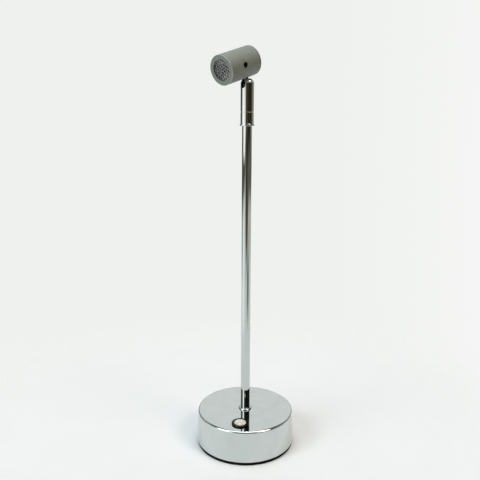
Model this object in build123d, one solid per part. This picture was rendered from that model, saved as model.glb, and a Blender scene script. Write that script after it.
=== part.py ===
from build123d import *
import os
from math import cos, radians, sin, sqrt

# Cordless display spotlight: a weighted chrome drum, a thin pole, a ball joint with a drop slot and a
# cylindrical head. Millimetres. The origin is the middle of the drum's underside, +Z is up, and the
# light points along -Y, tilted down as the lamp is left standing.

# ---- fits ----
fit_gap = 0.05             # radial gap between pieces that screw or push into each other
run_gap = 0.06             # radial gap of the turning ball and the turning joint cap
slide_gap = 0.10           # radial gap round the push button
seam_gap = 0.15            # height of the seam that the joint cap turns on
clear_gap = 0.30           # free room between moving pieces that never touch
hole_gap = 0.10            # radial gap of a clearance hole in the drum
rim_match = 0.01           # how near a rim's size and height must be for it to be rounded or chamfered

# ---- drum ----
pad_thickness = 3.5
pad_inset = 1.0            # how far the pad stays inside the shell's lower edge
pad_edge = 0.4
shell_radius = 50.0        # at the top
shell_flare = 1.4          # how much wider the shell is at its lower edge
shell_height = 33.0
shell_wall = 1.0
shell_roof = 1.2
shell_edge = 2.0           # rounding of the shell's corner, outside
shell_inner_edge = 1.0     # and inside
plate_thickness = 1.5
ballast_gap = 2.0          # from the shell's wall
ballast_thickness = 6.0

# ---- pillars and the screws that close the drum ----
pillar_count = 3
pillar_inset = 9.0         # from the shell's outer face to the pillars' axes
pillar_start = 38.0        # degrees from +X
pillar_flats = 6.0
plate_screw_radius = 1.5
plate_screw_length = 9.0
plate_screw_head = 2.9
plate_screw_head_height = 1.3
plate_screw_socket = 1.5   # across flats
plate_screw_socket_depth = 1.0
plate_screw_run_out = 1.0  # tapped depth left beyond the screw's tip

# ---- cell, holder and contacts ----
cell_radius = 9.2
cell_length = 64.0
cell_nub_radius = 2.75
cell_nub_height = 1.0
cell_side_gap = 0.1
contact_plate = 0.5
contact_width = 10.0
contact_nose_radius = 3.0
contact_nose = 1.0
holder_wall = 1.2
holder_floor = 1.5
holder_end = 2.0
holder_height = 12.0
holder_gap = 1.1           # between the holder's corners and the shell

# ---- control board ----
board_width = 22.0
board_length = 38.0
board_thickness = 1.6
board_inset = 14.5         # from the shell's outer face to the board's outer edge
board_corner = 3.0         # how far the screws sit in from the board's edges
spacer_radius = 2.5
spacer_height = 3.0
board_screw_radius = 1.2
board_screw_bite = 4.0
board_screw_head = 2.2
board_screw_head_height = 1.4
terminal_width = 5.0
terminal_length = 8.0
terminal_height = 4.5
coil_size = 7.0
coil_height = 4.0
chip_width = 4.0
chip_length = 5.0
chip_height = 1.5
capacitor_radius = 3.0
capacitor_height = 7.0
part_spacing = 9.0
part_row_shift = 2.25      # how far the row of parts sits outward of the board's middle

# ---- hookup wires inside the drum ----
hookup_bend = 2.0
cell_wire_rise = 3.5       # above the cell's axis, at the contacts
cell_wire_run = 7.5        # from the contacts to the first turn
socket_wire_run = 3.8      # from the socket's tags to the first turn
socket_wire_step = 1.2     # keeps the socket's two wires apart
socket_wire_reach = 4.0

# ---- charging socket, for a 5.5 mm barrel plug ----
socket_height = 20.0       # height of its axis above the table
socket_bore = 2.85
socket_depth = 9.0
socket_pin_radius = 1.05
socket_pin_setback = 1.0
socket_barrel = 3.95
socket_length = 15.0
socket_flange = 5.5
socket_flange_thickness = 0.9
socket_flange_edge = 0.3
socket_seat_depth = 0.4    # flat pressed into the shell for the flange
socket_nut_flats = 11.0
socket_nut_thickness = 2.0
socket_tag_width = 2.0
socket_tag_thickness = 0.5
socket_tag_length = 3.0
socket_tag_spacing = 3.0

# ---- push switch, 16 mm panel hole ----
switch_inset = 16.4        # from the shell's outer face to the switch's axis
switch_angle = 34.5        # degrees from the front (-Y) towards +X
switch_rise = 3.5          # plug's end above the board's underside
barrel_radius = 7.95
gasket_width = 0.65
gasket_thickness = 0.4
bezel_width = 0.85         # how far the bezel reaches beyond the barrel
bezel_height = 1.0
bezel_edge = 0.4
switch_nut_wall = 1.55     # at the middle of its flats
switch_nut_thickness = 2.5
button_radius = 5.9
button_proud = 0.2
button_height = 5.0
button_edge = 0.3
button_travel = 1.5
button_room = 1.1          # left under the cap when it is pressed home
stem_room = 2.6            # left under the stem when it is pressed home
spring_well_radius = 4.5
spring_well_floor = 1.5    # wall between the spring's well and the plug
spring_side_gap = 0.9      # from the well's wall to the middle of the spring's wire
stem_side_gap = 0.6        # from the middle of the spring's wire to the button's stem
button_spring_wire = 0.5
button_spring_turns = 5
barrel_wall = 1.15         # round the plug
plug_height = 5.5
plug_proud = 2.0
switch_tag_width = 2.0
switch_tag_thickness = 0.5
switch_tag_clear = 1.5     # left between the tags' tips and the ballast
switch_tag_spacing = 6.0

# ---- pole ----
pole_radius = 4.75
pole_wall = 1.0
pole_exposed = 297.2       # from the drum's top to the joint's flange
pole_tail = 12.0           # length inside the drum
collar_width = 2.05
collar_height = 1.5
collar_edge = 0.6
washer_width = 3.25
washer_thickness = 1.0
pole_nut_wall = 2.25       # at the middle of its flats
pole_nut_thickness = 4.0
lead_radius = 0.6
lead_gap = 0.1             # between the two leads
lead_bend = 5.0

# ---- ball joint ----
flange_width = 0.65        # how far the flange reaches beyond the sleeve
flange_thickness = 2.0
flange_edge = 0.5
joint_radius = 6.35
sleeve_height = 13.0       # flange face to seam
sleeve_grip = 10.0         # how deep the pole goes in
spigot_bore = 2.8
groove_depth = 0.8
groove_width = 2.6
groove_height = 7.0        # middle of the groove above the seam
stop_rib = 0.8             # rib that ends the groove in front, so the leads can't be wound up
joint_screw_radius = 1.0
cap_height = 31.6
cap_round = 5.0            # radius of the cap's shoulder
cap_seam_edge = 0.15
mouth_room = 1.6           # round the neck, in the mouth that it leaves through
ball_radius = 4.9
ball_depth = 7.0           # ball centre below the cap's top
neck_radius = 2.3
neck_bore_gap = 0.2        # round the two leads
cup_height = 3.4
cup_drop = 2.6             # cup's upper rim below the ball's centre
cup_bore = 2.2
joint_spring_length = 6.25
joint_spring_inset = 1.1   # middle of its wire inside the ball's radius
joint_spring_wire = 0.8
joint_spring_turns = 4

# ---- head ----
tilt_down = 16.0           # degrees that the light points below level
head_radius = 14.0
head_length = 40.0
head_front = 30.0          # from the stem's axis to the front rim
head_lift = 7.3            # from the ball's centre up to the head's underside
head_wall = 1.8
head_front_edge = 0.35
lip_thickness = 1.0
aperture_radius = 9.8
rear_cap_thickness = 1.4
rear_cap_edge = 0.6
rear_cap_spigot = 2.0
slug_rear_gap = 1.6        # between the rear cap's spigot and the slug
slug_ahead = 4.0           # slug's front face ahead of the side screw's axis
stem_bite = 5.0            # thread length of the stem inside the slug
wire_pocket_radius = 4.5
wire_pocket_front = 3.5
wire_bore = 2.0
wire_bend = 3.0
side_hole_setback = 18.6   # from the front rim
side_screw_radius = 2.7
side_screw_recess = 1.2
side_screw_bite = 3.0
side_screw_socket = 3.0    # across flats
side_screw_socket_depth = 2.0
side_hole_edge = 0.3
led_board_inset = 2.15     # inside the slug's rim
led_board_thickness = 1.6
led_screw_inset = 2.5      # from the board's rim to the screws' axes
led_screw_radius = 1.0
led_screw_head = 1.9
led_screw_head_height = 1.1
led_screw_bite = 3.0
emitter_size = 3.4
emitter_height = 0.6
emitter_dome = 1.25
holder_tube_wall = 1.5
holder_base = 1.2
holder_hole = 3.0
lens_rim = 1.5
lens_tip_radius = 4.2
lens_pit_radius = 2.2
lens_pit_depth = 3.0

# ---- sizes that follow ----
pad_radius = shell_radius + shell_flare - pad_inset
ballast_radius = shell_radius - shell_wall - ballast_gap
pillar_circle = shell_radius - pillar_inset
board_x = shell_radius - board_inset - board_width / 2
switch_circle = shell_radius - switch_inset
gasket_radius = barrel_radius + gasket_width
bezel_radius = barrel_radius + bezel_width
switch_nut_flats = 2 * (barrel_radius + switch_nut_wall)
plug_radius = barrel_radius - fit_gap - barrel_wall
button_spring_radius = spring_well_radius - spring_side_gap
button_stem_radius = button_spring_radius - stem_side_gap
collar_radius = pole_radius + collar_width
washer_radius = pole_radius + washer_width
pole_nut_flats = 2 * (pole_radius + pole_nut_wall)
pole_bore = pole_radius - pole_wall
lead_spacing = 2 * lead_radius + lead_gap
flange_radius = joint_radius + flange_width
socket_bore_radius = ball_radius + run_gap
joint_spring_radius = ball_radius - joint_spring_inset
cap_mouth = neck_radius + mouth_room
neck_bore = lead_spacing / 2 + lead_radius + neck_bore_gap
head_drop = head_radius + head_lift
head_bore = head_radius - head_wall
head_rear = head_length - head_front
slug_radius = head_bore - fit_gap
led_board_radius = slug_radius - led_board_inset
led_screw_circle = led_board_radius - led_screw_inset

# ---- heights and places that follow ----
shell_bottom_z = pad_thickness
roof_z = shell_bottom_z + shell_height
roof_under_z = roof_z - shell_roof
plate_top_z = shell_bottom_z + plate_thickness
ballast_top_z = plate_top_z + ballast_thickness
board_z = ballast_top_z + spacer_height
board_top_z = board_z + board_thickness
pole_bottom_z = roof_z - pole_tail
flange_z = roof_z + pole_exposed
seam_z = flange_z + sleeve_height
pole_top_z = flange_z + sleeve_grip
cap_bottom_z = seam_z + seam_gap
cap_top_z = cap_bottom_z + cap_height
ball_z = cap_top_z - ball_depth
cup_top_z = ball_z - cup_drop
cup_bottom_z = cup_top_z - cup_height
spigot_top_z = cup_bottom_z - joint_spring_length - hole_gap
switch_x = switch_circle * sin(radians(switch_angle))
switch_y = -switch_circle * cos(radians(switch_angle))
lead_end_z = board_top_z + terminal_height / 2
terminal_x = board_x - board_width / 2
lens_front = head_front - lip_thickness
side_hole = head_front - side_hole_setback
slug_front = side_hole + slug_ahead
slug_rear = head_rear - rear_cap_thickness - rear_cap_spigot - slug_rear_gap
led_board_front = slug_front + led_board_thickness
holder_top = lens_front - lens_rim
lens_tip = led_board_front + holder_base
neck_tip = head_drop - slug_radius + stem_bite

UP = (Align.CENTER, Align.CENTER, Align.MIN)

# The stem stands on the ball's centre and leans forward with the head. Barrel coordinates run along
# the head's axis, with +Z out of the front and +Y up.
stem_place = Pos(0, 0, ball_z) * Rot(tilt_down, 0, 0)
barrel_place = stem_place * Pos(0, 0, head_drop) * Rot(90, 0, 0)
switch_place = Pos(switch_x, switch_y, roof_z)


def disc(radius, low, high):
    """Upright cylinder from one height to another."""
    return Pos(0, 0, low) * Cylinder(radius, high - low, align=UP)


def ring(outer, inner, low, high):
    """Upright tube."""
    return disc(outer, low, high) - disc(inner, low, high)


def turned(points):
    """Solid turned about Z from a closed outline of (radius, height) points."""
    outline = Polyline(*[(radius, 0, height) for radius, height in points], close=True)
    return revolve(make_face(outline), axis=Axis.Z)


def hexagon(flats, low, high):
    """Upright hexagonal bar."""
    profile = RegularPolygon(radius=flats / 2, side_count=6, major_radius=False)
    return Pos(0, 0, low) * extrude(profile, amount=high - low)


def coil(radius, wire, low, high, turns):
    """Compression spring whose wire touches both end heights."""
    path = Helix(pitch=(high - low - wire) / turns, height=high - low - wire, radius=radius)
    section = Plane(origin=path @ 0, z_dir=path % 0) * Circle(wire / 2)
    return Pos(0, 0, low + wire / 2) * sweep(section, path=path)


def rim_edges(solid, radius, height):
    """Circular edges of an upright turned solid with this radius and height."""
    circles = solid.edges().filter_by(GeomType.CIRCLE)
    return [c for c in circles if max(abs(c.radius - radius), abs(c.arc_center.Z - height)) < rim_match]


def round_edges(solid, radius, height, size):
    """Round the rim that has this radius and height."""
    return fillet(rim_edges(solid, radius, height), size)


def bevel_edges(solid, radius, height, size):
    """Chamfer the rim that has this radius and height."""
    return chamfer(rim_edges(solid, radius, height), size)


def corner_radius(flats):
    """Distance from a hexagon's middle to its corners."""
    return flats / sqrt(3)


def shell_radius_at(height):
    """Outer radius of the shell's flared wall."""
    return shell_radius + shell_flare * (roof_z - height) / shell_height


# ================= drum =================


def base_pad():
    pad = disc(pad_radius, 0, pad_thickness)
    return bevel_edges(pad, pad_radius, 0, pad_edge)


def base_shell():
    """Drawn cup with a flared wall, open below."""
    shell = turned(
        [
            (0, roof_z),
            (shell_radius, roof_z),
            (shell_radius_at(shell_bottom_z), shell_bottom_z),
            (shell_radius_at(shell_bottom_z) - shell_wall, shell_bottom_z),
            (shell_radius_at(roof_under_z) - shell_wall, roof_under_z),
            (0, roof_under_z),
        ]
    )
    shell = round_edges(shell, shell_radius, roof_z, shell_edge)
    inner = shell_radius_at(roof_under_z) - shell_wall
    shell = round_edges(shell, inner, roof_under_z, shell_inner_edge)
    shell -= disc(pole_radius + hole_gap, roof_under_z, roof_z)
    shell -= Pos(switch_x, switch_y, 0) * disc(barrel_radius + hole_gap, roof_under_z, roof_z)
    socket_hole = disc(socket_barrel + hole_gap, shell_radius / 2, shell_radius * 2)
    socket_seat = disc(socket_flange + hole_gap, socket_seat_y, shell_radius * 2)
    return shell - socket_place * (socket_hole + socket_seat)


def bottom_plate():
    radius = shell_radius_at(plate_top_z) - shell_wall - fit_gap
    plate = disc(radius, shell_bottom_z, plate_top_z)
    for place in pillar_places():
        plate -= place * screw_shape(fit_gap)
    return plate


def ballast_disc():
    ballast = disc(ballast_radius, plate_top_z, ballast_top_z)
    for place in pillar_places():
        ballast -= place * disc(corner_radius(pillar_flats) + 2 * clear_gap, plate_top_z, ballast_top_z)
    for place in board_screw_places():
        ballast -= place * disc(board_screw_radius + fit_gap, -board_screw_bite, 0)
    return ballast


def pillar_places():
    """Places of the pillars, evenly spaced on a circle."""
    step = 360 / pillar_count
    return [Rot(0, 0, pillar_start + step * i) * Pos(pillar_circle, 0, 0) for i in range(pillar_count)]


def screw_shape(gap):
    """Countersunk screw, head flush with the plate's underside, grown by a gap for its hole."""
    shank = disc(plate_screw_radius + gap, shell_bottom_z, shell_bottom_z + plate_screw_length)
    head = Pos(0, 0, shell_bottom_z) * Cone(
        plate_screw_head + gap, plate_screw_radius + gap, plate_screw_head_height, align=UP
    )
    return shank + head


def plate_screws():
    socket_end = shell_bottom_z + plate_screw_socket_depth
    screw = screw_shape(0) - hexagon(plate_screw_socket, shell_bottom_z, socket_end)
    return [place * screw for place in pillar_places()]


def pillars():
    bar = hexagon(pillar_flats, plate_top_z, roof_under_z)
    tapped_end = shell_bottom_z + plate_screw_length + plate_screw_run_out
    bar -= disc(plate_screw_radius + fit_gap, plate_top_z, tapped_end)
    return [place * bar for place in pillar_places()]


# ================= cell =================


def along_y(shape):
    """Turn an upright shape so that its +Z lies along +Y."""
    return Rot(-90, 0, 0) * shape


cell_z = ballast_top_z + holder_floor + cell_radius + cell_side_gap
holder_inner = cell_length + cell_nub_height + 2 * (contact_plate + contact_nose)
holder_width = 2 * (cell_radius + cell_side_gap + holder_wall)
holder_length = holder_inner + 2 * holder_end
holder_reach = shell_radius_at(ballast_top_z + holder_height) - shell_wall - holder_gap
holder_x = holder_width / 2 - sqrt(holder_reach**2 - (holder_length / 2) ** 2)
cell_place = Pos(holder_x, 0, cell_z)


def battery_holder():
    """Tray on the ballast, pushed out as far as the shell's wall lets its corners go."""
    tray = Pos(holder_x, 0, ballast_top_z) * Box(holder_width, holder_length, holder_height, align=UP)
    trough = Cylinder(cell_radius + cell_side_gap, holder_inner, align=(Align.CENTER,) * 3)
    room = Box(2 * (cell_radius + cell_side_gap), holder_inner, 2 * cell_radius, align=UP)
    return tray - cell_place * (along_y(trough) + room)


def battery_cell():
    start = (holder_inner - cell_length - cell_nub_height) / 2 - holder_inner / 2
    can = disc(cell_radius, start, start + cell_length)
    nub = disc(cell_nub_radius, start + cell_length, start + cell_length + cell_nub_height)
    return cell_place * along_y(can + nub)


def battery_contacts():
    end = holder_inner / 2
    blade = Box(contact_width, contact_width, contact_plate, align=UP)
    contact = blade + disc(contact_nose_radius, contact_plate, contact_plate + contact_nose)
    first = along_y(Pos(0, 0, -end) * contact)
    return [cell_place * first, cell_place * Rot(0, 0, 180) * first]


# ================= control board =================


def board_screw_places():
    """Screw places at the board's corners, with Z = 0 on the ballast's top."""
    x = board_width / 2 - board_corner
    y = board_length / 2 - board_corner
    return [Pos(board_x + i * x, j * y, ballast_top_z) for i in (-1, 1) for j in (-1, 1)]


def control_board():
    board = Pos(board_x, 0, board_z) * Box(board_width, board_length, board_thickness, align=UP)
    for place in board_screw_places():
        board -= place * disc(board_screw_radius + fit_gap, 0, board_top_z)
    return board


def board_spacers():
    spacer = ring(spacer_radius, board_screw_radius + fit_gap, 0, spacer_height)
    return [place * spacer for place in board_screw_places()]


def board_screws():
    top = spacer_height + board_thickness
    screw = disc(board_screw_radius, -board_screw_bite, top)
    screw += disc(board_screw_head, top, top + board_screw_head_height)
    return [place * screw for place in board_screw_places()]


def board_parts():
    """Lead terminal, coil, chip and capacitor in a row on the board."""
    terminal = Pos(terminal_x + terminal_width / 2, 0, board_top_z)
    row = Pos(board_x + part_row_shift, 0, board_top_z)
    return [
        terminal * Box(terminal_width, terminal_length, terminal_height, align=UP),
        row * Box(coil_size, coil_size, coil_height, align=UP),
        row * Pos(0, -part_spacing, 0) * Box(chip_width, chip_length, chip_height, align=UP),
        row * Pos(0, part_spacing, 0) * Cylinder(capacitor_radius, capacitor_height, align=UP),
    ]


def wire(points, bend):
    """Insulated wire along straight runs joined by arcs."""
    path = FilletPolyline(*points, radius=bend)
    section = Plane(origin=path @ 0, z_dir=path % 0) * Circle(lead_radius)
    return sweep(section, path=path)


def cell_wires():
    """From the contacts' side edges down beside the holder, then under the pole to the board's edge."""
    start_x = holder_x + contact_width / 2
    turn_x = start_x + cell_wire_run
    edge_z = board_z + board_thickness / 2
    wires = []
    for side in (-1, 1):
        start_y = side * (holder_inner / 2 - contact_plate / 2)
        end_y = side * (board_length / 2 - board_corner - spacer_radius - lead_radius)
        points = [
            (start_x, start_y, cell_z + cell_wire_rise),
            (turn_x, start_y, cell_z + cell_wire_rise),
            (turn_x, end_y, edge_z),
            (terminal_x, end_y, edge_z),
        ]
        wires.append(wire(points, hookup_bend))
    return wires


def switch_wires():
    """Straight from the switch's tags to the board's front edge."""
    height = roof_z + plug_bottom - switch_tag_length / 2
    start_y = switch_y + switch_tag_width / 2
    run = Vector(0, -board_length / 2 - start_y, board_z + board_thickness / 2 - height)
    wires = []
    for side in (-1, 1):
        start = Plane(origin=(switch_x + side * switch_tag_spacing / 2, start_y, height), z_dir=(0, 1, 0))
        wires.append(extrude(start * Circle(lead_radius), amount=run.length, dir=run))
    return wires


def socket_wires():
    """From the socket's tags round to the board's rear edge."""
    start_y = socket_back_y - socket_tag_length
    end_y = board_length / 2
    edge_z = board_z + board_thickness / 2
    wires = []
    for side in (-1, 1):
        height = socket_height + side * socket_tag_spacing / 2
        turn_y = start_y - socket_wire_run - side * socket_wire_step
        end_x = board_x - socket_wire_reach - side * socket_wire_step
        points = [(0, start_y, height), (0, turn_y, height), (end_x, turn_y, edge_z), (end_x, end_y, edge_z)]
        wires.append(wire(points, hookup_bend))
    return wires


# ================= charging socket =================

# Z = 0 of the socket's place is the pole's axis, and its +Z leaves the drum through the rear.
socket_place = Pos(0, 0, socket_height) * Rot(-90, 0, 0)
socket_seat_y = shell_radius_at(socket_height) - socket_seat_depth
socket_face_y = socket_seat_y + socket_flange_thickness
socket_back_y = socket_seat_y - socket_length


def charging_socket():
    body = disc(socket_barrel, socket_back_y, socket_seat_y)
    body += disc(socket_flange, socket_seat_y, socket_face_y)
    body = round_edges(body, socket_flange, socket_face_y, socket_flange_edge)
    body -= disc(socket_bore, socket_face_y - socket_depth, socket_face_y)
    return socket_place * body


def socket_pin():
    return socket_place * disc(socket_pin_radius, socket_face_y - socket_depth, socket_face_y - socket_pin_setback)


def socket_nut():
    inner = shell_radius_at(socket_height) - shell_wall
    corner = corner_radius(socket_nut_flats)
    face = sqrt(inner * inner - corner * corner) - hole_gap
    nut = hexagon(socket_nut_flats, face - socket_nut_thickness, face)
    return socket_place * (nut - disc(socket_barrel + fit_gap, 0, face))


def socket_tags():
    tag = Pos(0, 0, socket_back_y) * Box(
        socket_tag_width, socket_tag_thickness, socket_tag_length, align=(Align.CENTER, Align.CENTER, Align.MAX)
    )
    return [socket_place * Pos(0, side * socket_tag_spacing / 2, 0) * tag for side in (-1, 1)]


# ================= push switch (Z = 0 on the drum's top) =================

bezel_top = gasket_thickness + bezel_height
button_top = bezel_top + button_proud
button_bottom = button_top - button_height
button_well_z = button_bottom - button_travel - button_room
plug_bottom = board_z + switch_rise - roof_z
plug_top = plug_bottom + plug_height
barrel_bottom = plug_bottom + plug_proud
spring_well_z = plug_top + spring_well_floor
stem_bottom = spring_well_z + button_travel + stem_room
switch_tag_length = roof_z + plug_bottom - ballast_top_z - switch_tag_clear


def switch_gasket():
    return switch_place * ring(gasket_radius, barrel_radius + fit_gap, 0, gasket_thickness)


def switch_barrel():
    barrel = disc(barrel_radius, barrel_bottom, gasket_thickness)
    barrel += disc(bezel_radius, gasket_thickness, bezel_top)
    barrel = round_edges(barrel, bezel_radius, bezel_top, bezel_edge)
    barrel -= disc(button_radius + slide_gap, button_well_z, bezel_top)
    barrel -= disc(spring_well_radius, spring_well_z, button_well_z)
    barrel -= disc(plug_radius + fit_gap, barrel_bottom, plug_top)
    return switch_place * barrel


def switch_nut():
    low = -shell_roof - switch_nut_thickness
    nut = hexagon(switch_nut_flats, low, -shell_roof) - disc(barrel_radius + fit_gap, low, -shell_roof)
    return switch_place * nut


def switch_plug():
    return switch_place * disc(plug_radius, plug_bottom, plug_top)


def switch_tags():
    tag = Pos(0, 0, plug_bottom) * Box(
        switch_tag_thickness, switch_tag_width, switch_tag_length, align=(Align.CENTER, Align.CENTER, Align.MAX)
    )
    return [switch_place * Pos(side * switch_tag_spacing / 2, 0, 0) * tag for side in (-1, 1)]


def button_cap():
    cap = round_edges(disc(button_radius, button_bottom, button_top), button_radius, button_top, button_edge)
    stem = disc(button_stem_radius, stem_bottom, button_bottom)
    return switch_place * (cap + stem)


def button_spring():
    return switch_place * coil(
        button_spring_radius, button_spring_wire, spring_well_z, button_bottom, button_spring_turns
    )


# ================= pole =================


def pole_tube():
    return ring(pole_radius, pole_bore, pole_bottom_z, pole_top_z)


def pole_collar():
    collar = ring(collar_radius, pole_radius + fit_gap, roof_z, roof_z + collar_height)
    return round_edges(collar, collar_radius, roof_z + collar_height, collar_edge)


def pole_washer():
    return ring(washer_radius, pole_radius + fit_gap, roof_under_z - washer_thickness, roof_under_z)


def pole_nut():
    top = roof_under_z - washer_thickness
    low = top - pole_nut_thickness
    return hexagon(pole_nut_flats, low, top) - disc(pole_radius + fit_gap, low, top)


def pole_leads():
    """Two insulated wires from the board's terminal, up the pole to just under the ball."""
    top = ball_z - ball_radius - clear_gap
    leads = []
    for side in (-1, 1):
        y = side * lead_spacing / 2
        leads.append(wire([(0, y, top), (0, y, lead_end_z), (terminal_x, y, lead_end_z)], lead_bend))
    return leads


# ================= ball joint =================


def joint_sleeve():
    """Flanged sleeve on the pole's end, with a grooved spigot that the cap turns on."""
    spigot_radius = socket_bore_radius - run_gap
    sleeve = disc(joint_radius, flange_z, seam_z) + disc(flange_radius, flange_z, flange_z + flange_thickness)
    sleeve = round_edges(sleeve, flange_radius, flange_z + flange_thickness, flange_edge)
    sleeve = round_edges(sleeve, flange_radius, flange_z, flange_edge)
    sleeve = bevel_edges(sleeve, joint_radius, seam_z, cap_seam_edge)
    sleeve += disc(spigot_radius, seam_z, spigot_top_z)
    groove_low = seam_z + groove_height - groove_width / 2
    groove_high = groove_low + groove_width
    groove = ring(spigot_radius, spigot_radius - groove_depth, groove_low, groove_high)
    rib = Pos(0, 0, groove_low) * Box(
        stop_rib, 2 * spigot_radius, groove_width, align=(Align.CENTER, Align.MAX, Align.MIN)
    )
    sleeve -= groove - rib
    sleeve -= disc(pole_radius + fit_gap, flange_z, pole_top_z)
    return sleeve - disc(spigot_bore, flange_z, spigot_top_z)


def joint_cap():
    """Round-shouldered cap over the ball, with its mouth on top and the drop slot in front."""
    cap = disc(joint_radius, cap_bottom_z, cap_top_z)
    cap = round_edges(cap, joint_radius, cap_top_z, cap_round)
    cap = bevel_edges(cap, joint_radius, cap_bottom_z, cap_seam_edge)
    cap -= disc(socket_bore_radius, cap_bottom_z, ball_z)
    cap -= Pos(0, 0, ball_z) * Sphere(socket_bore_radius)
    cap -= disc(cap_mouth, ball_z, cap_top_z)
    half_slot = neck_radius + clear_gap
    slot = Pos(0, 0, ball_z) * Box(
        2 * half_slot, 2 * joint_radius, 2 * ball_depth, align=(Align.CENTER, Align.MAX, Align.MIN)
    )
    slot += Pos(0, 0, ball_z) * Rot(90, 0, 0) * disc(half_slot, 0, 2 * joint_radius)
    return cap - slot - joint_screw_place() * disc(joint_screw_radius + fit_gap, 0, 2 * joint_radius)


def joint_screw_place():
    """Z runs out of the cap's back at the height of the sleeve's groove."""
    return Pos(0, 0, seam_z + groove_height) * Rot(-90, 0, 0)


def joint_screw():
    tip = socket_bore_radius - run_gap - groove_depth + clear_gap
    return joint_screw_place() * disc(joint_screw_radius, tip, joint_radius - clear_gap)


def pressure_cup():
    """Brass cup that the spring pushes up against the ball."""
    cup = ring(socket_bore_radius - fit_gap, cup_bore, cup_bottom_z, cup_top_z)
    return cup - Pos(0, 0, ball_z) * Sphere(socket_bore_radius)


def joint_spring():
    low = cup_bottom_z - joint_spring_length
    return coil(joint_spring_radius, joint_spring_wire, low, cup_bottom_z, joint_spring_turns)


def ball_stem():
    """Ball, neck and threaded end in one piece, bored for the leads."""
    stem = Sphere(ball_radius) + disc(neck_radius, 0, neck_tip)
    return stem_place * (stem - disc(neck_bore, -ball_radius, neck_tip))


# ================= head (barrel coordinates, +Z out of the front) =================


def side_place(low, high, radius):
    """Round bar across the head, out through the +X side, at the side hole."""
    return Pos(0, 0, side_hole) * Rot(0, 90, 0) * disc(radius, low, high)


def stem_hole(radius, low, high):
    """Round hole along the stem, in barrel coordinates."""
    return Rot(90, 0, 0) * disc(radius, low, high)


def head_housing():
    rear = -head_rear + rear_cap_thickness
    body = disc(head_radius, rear, head_front)
    body = bevel_edges(body, head_radius, head_front, head_front_edge)
    body -= disc(head_bore, rear, lens_front)
    body -= disc(aperture_radius, lens_front, head_front)
    body -= side_place(slug_radius / 2, 2 * head_radius, side_screw_radius + fit_gap)
    body -= Pos(head_radius, 0, side_hole) * Rot(0, 90, 0) * Cone(
        side_screw_radius, side_screw_radius + 2 * side_hole_edge, 2 * side_hole_edge
    )
    return barrel_place * (body - stem_hole(neck_radius + fit_gap, slug_radius / 2, 2 * head_radius))


def rear_cap():
    low = -head_rear
    high = low + rear_cap_thickness
    cap = bevel_edges(disc(head_radius, low, high), head_radius, low, rear_cap_edge)
    return barrel_place * (cap + disc(head_bore - fit_gap, high, high + rear_cap_spigot))


def heat_slug():
    """Aluminium core that carries the board, the stem and the side screw."""
    slug = disc(slug_radius, -slug_rear, slug_front)
    slug -= disc(wire_pocket_radius, -slug_rear, wire_pocket_front)
    slug -= disc(wire_bore, wire_pocket_front, slug_front)
    slug -= stem_hole(neck_radius + fit_gap, 0, 2 * slug_radius)
    slug -= side_place(slug_radius - side_screw_bite, 2 * slug_radius, side_screw_radius + fit_gap)
    for place in led_screw_places():
        slug -= place * disc(led_screw_radius + fit_gap, slug_front - led_screw_bite, slug_front)
    return barrel_place * slug


def side_screw():
    """Socket grub screw sunk in the head's side."""
    inner = slug_radius - side_screw_bite
    outer = head_radius - side_screw_recess
    screw = disc(side_screw_radius, inner, outer)
    screw -= hexagon(side_screw_socket, outer - side_screw_socket_depth, outer)
    return barrel_place * Pos(0, 0, side_hole) * Rot(0, 90, 0) * screw


def led_screw_places():
    return [Pos(side * led_screw_circle, 0, 0) for side in (-1, 1)]


def led_board():
    board = disc(led_board_radius, slug_front, led_board_front)
    for place in led_screw_places():
        board -= place * disc(led_screw_radius + fit_gap, slug_front, led_board_front)
    return barrel_place * board


def led_screws():
    screw = disc(led_screw_radius, slug_front - led_screw_bite, led_board_front)
    screw += disc(led_screw_head, led_board_front, led_board_front + led_screw_head_height)
    return [barrel_place * place * screw for place in led_screw_places()]


def led_emitter():
    base = Pos(0, 0, led_board_front) * Box(emitter_size, emitter_size, emitter_height, align=UP)
    dome = Pos(0, 0, led_board_front + emitter_height) * Sphere(emitter_dome)
    above = disc(emitter_size, led_board_front, led_board_front + 2 * emitter_size)
    return barrel_place * (base + (dome & above))


def lens_holder():
    """Tube with a floor that centres the lens over the emitter."""
    outer = head_bore - fit_gap
    holder = ring(outer, outer - holder_tube_wall, led_board_front, holder_top)
    holder += disc(outer, led_board_front, lens_tip)
    holder -= disc(holder_hole, led_board_front, lens_tip)
    for place in led_screw_places():
        holder -= place * disc(led_screw_head + hole_gap, led_board_front, lens_tip)
    return barrel_place * holder


def lens():
    """Collimator: flat rim, tapered body and a pit over the emitter."""
    rim = head_bore - fit_gap
    shoulder = rim - holder_tube_wall - hole_gap
    body = turned(
        [
            (0, lens_front),
            (rim, lens_front),
            (rim, holder_top),
            (shoulder, holder_top),
            (lens_tip_radius, lens_tip),
            (0, lens_tip),
        ]
    )
    return barrel_place * (body - disc(lens_pit_radius, lens_tip, lens_tip + lens_pit_depth))


def head_leads():
    """The two wires inside the stem, round the bend in the slug's pocket, to the LED board."""
    leads = []
    for side in (-1, 1):
        x = side * lead_spacing / 2
        points = [(x, 0, -ball_radius + clear_gap), (x, 0, head_drop), (x, -slug_front, head_drop)]
        leads.append(stem_place * wire(points, wire_bend))
    return leads


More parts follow.
